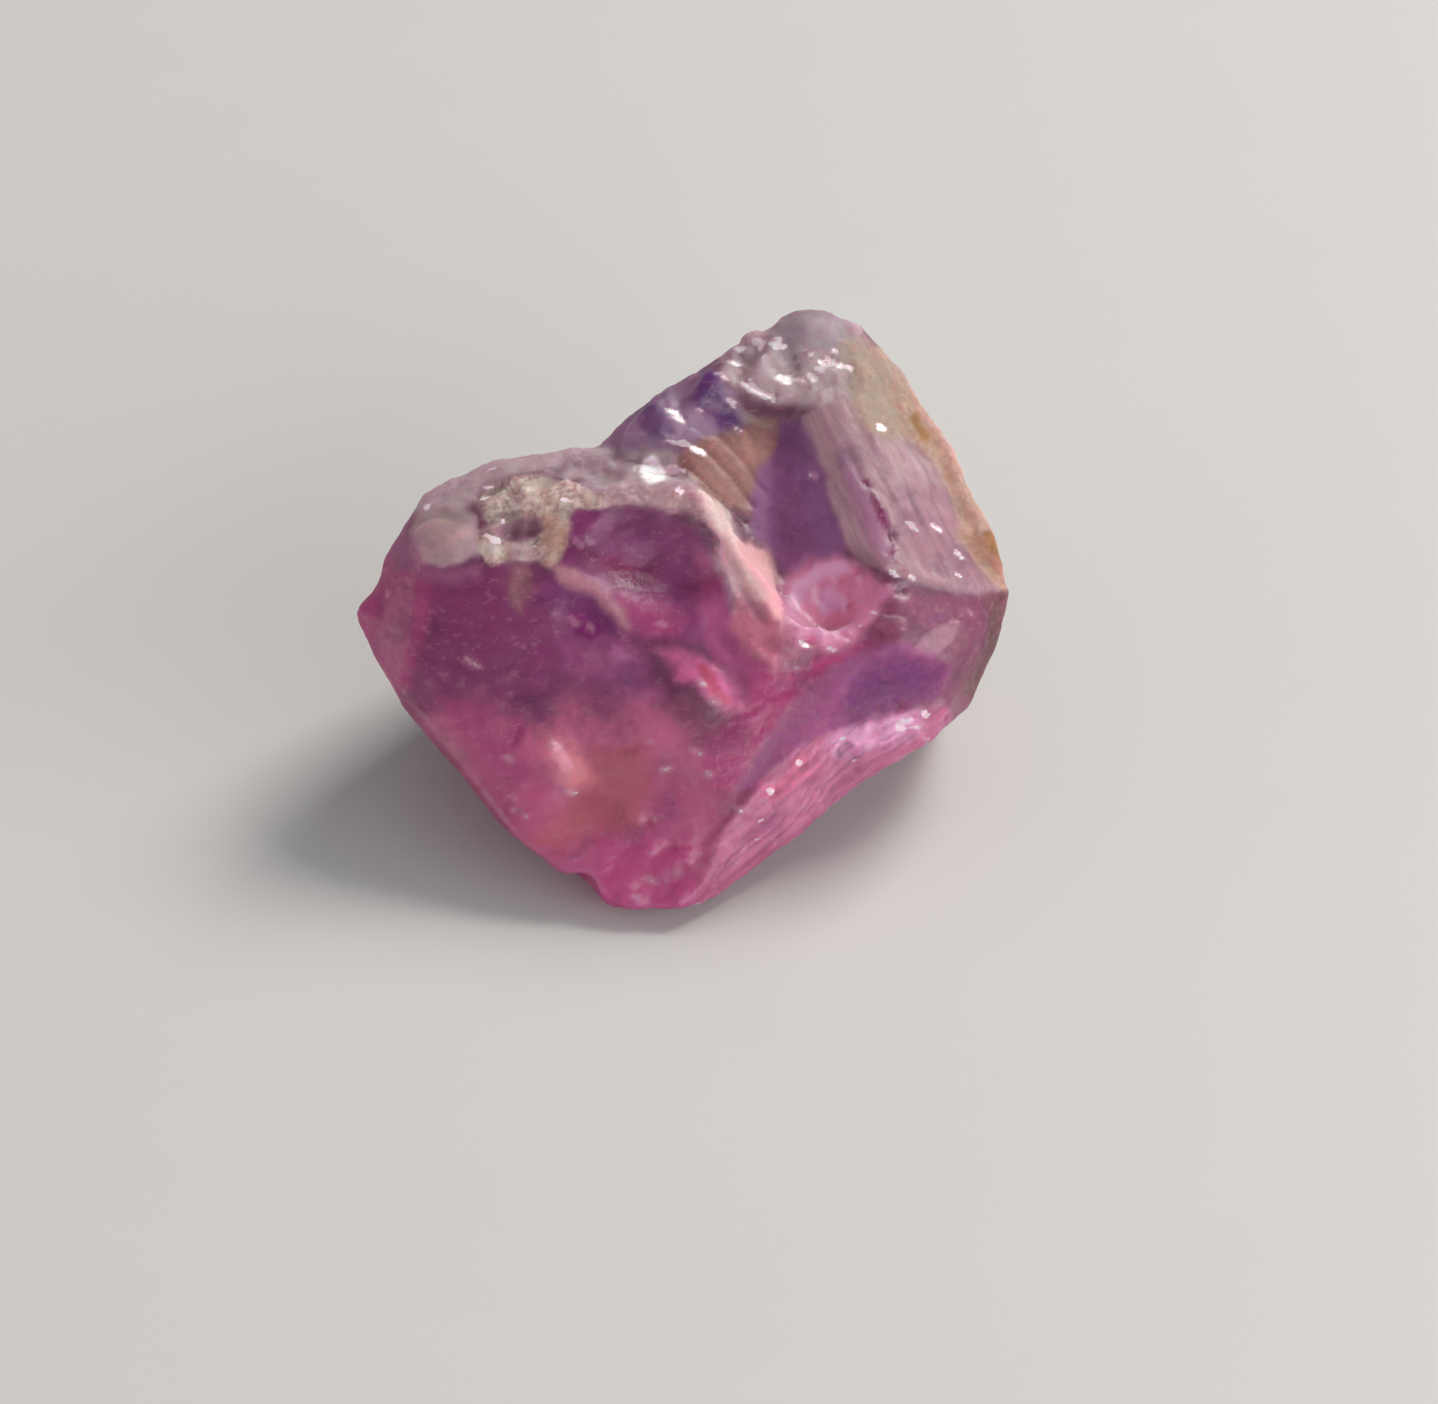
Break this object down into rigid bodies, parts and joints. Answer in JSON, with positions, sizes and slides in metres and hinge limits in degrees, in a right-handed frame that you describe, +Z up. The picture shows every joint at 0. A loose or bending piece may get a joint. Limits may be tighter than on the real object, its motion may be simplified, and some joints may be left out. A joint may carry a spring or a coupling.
{
  "type": "raw spinel crystal",
  "caption": "Rough natural spinel crystal, translucent pinkish purple: octahedral lumps grown together, with a crusted ridge, a chipped hollow, a grooved face and a flat resting face.",
  "frame": {"origin": "on the resting face, under the middle of the crystal's box", "axes": "+X along the crystal's length, from the knobbed left end to the grooved face on the right; +Y from the broad front face to the back; +Z up, away from the resting face, and the shortest extent"},
  "size_m": [0.0102, 0.0084, 0.0066],
  "materials": {
    "spinel": "rough natural crystal faces, glossy where cleaved, frosted and pitted along the ridge"
  },
  "bodies": {
    "root": {"spinel_crystal": "spinel"}
  },
  "joints": []
}
